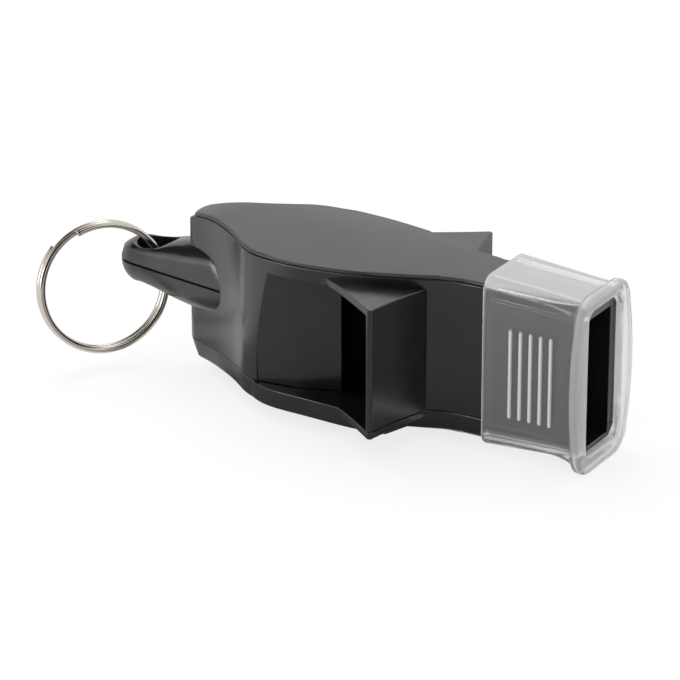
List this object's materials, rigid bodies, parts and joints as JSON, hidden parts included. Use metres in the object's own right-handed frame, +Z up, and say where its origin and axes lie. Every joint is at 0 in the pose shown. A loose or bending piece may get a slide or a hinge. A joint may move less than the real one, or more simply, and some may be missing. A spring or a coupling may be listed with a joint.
{
  "type": "sports whistle",
  "caption": "Pealess sports whistle with side fins over its sound windows, a clear ribbed mouth grip with a bite flange, and a split ring in its tail lug.",
  "frame": {"origin": "on the base face, on the whistle's middle line, under the middle of the casing", "axes": "+X to the mouth, +Y across to the far fin, +Z up through the top cover"},
  "size_m": [0.0718, 0.0282, 0.022],
  "materials": {
    "black_plastic": "moulded black plastic, semi-gloss",
    "lid_plastic": "moulded black plastic with a fine matt texture",
    "clear_silicone": "clear soft silicone",
    "nickel_steel": "nickel-plated spring steel"
  },
  "bodies": {
    "whistle": {"casing": "black_plastic", "top_cover": "lid_plastic", "bottom_cover": "black_plastic"},
    "grip": {"mouth_grip": "clear_silicone"},
    "ring": {"split_ring": "nickel_steel"}
  },
  "joints": [
    {"name": "ring_swing", "type": "hinge", "parent": "whistle", "child": "ring", "pos_m": [-0.0285, 0, 0.01086], "axis": [0, 0, 1], "range_deg": [-150, 80]},
    {"name": "grip_pull_off", "type": "slide", "parent": "whistle", "child": "grip", "axis": [1, 0, 0], "range_m": [0, 0.018]}
  ]
}
